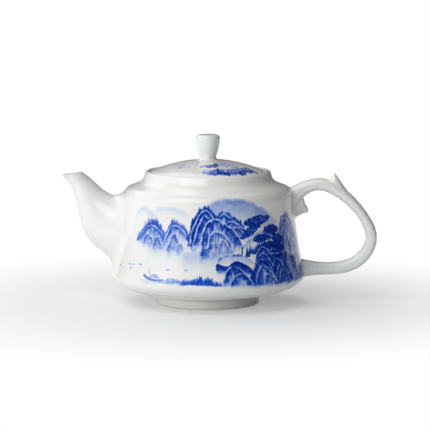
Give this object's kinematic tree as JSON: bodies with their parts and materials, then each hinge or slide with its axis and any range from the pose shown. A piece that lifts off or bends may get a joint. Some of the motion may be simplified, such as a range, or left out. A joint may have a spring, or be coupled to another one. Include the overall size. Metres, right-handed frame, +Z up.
{
  "type": "porcelain teapot",
  "caption": "Small white porcelain teapot with a flared body, curved spout, spurred ear handle and a domed lid that lifts off, painted with a blue mountain landscape.",
  "frame": {"origin": "centre of the foot ring's standing face, on the pot's axis", "axes": "+Z up the pot's axis, +X towards the handle, -X towards the spout; the pictured side faces -Y"},
  "size_m": [0.1654, 0.1016, 0.0888],
  "materials": {
    "painted_glaze": "white gloss glaze over a cobalt blue painted landscape",
    "white_glaze": "white gloss glaze",
    "foot_glaze": "white gloss glaze, wiped bare where the ring meets the table"
  },
  "bodies": {
    "pot": {"pot_base": "white_glaze", "pot_body": "painted_glaze", "foot_ring": "foot_glaze", "spout": "white_glaze", "strainer": "white_glaze", "handle": "white_glaze"},
    "lid": {"lid_cover": "painted_glaze", "lid_flange": "white_glaze", "lid_knob": "white_glaze"}
  },
  "joints": [
    {"name": "lid_lift", "type": "slide", "parent": "pot", "child": "lid", "axis": [0, 0, 1], "range_m": [0, 0.06]}
  ]
}
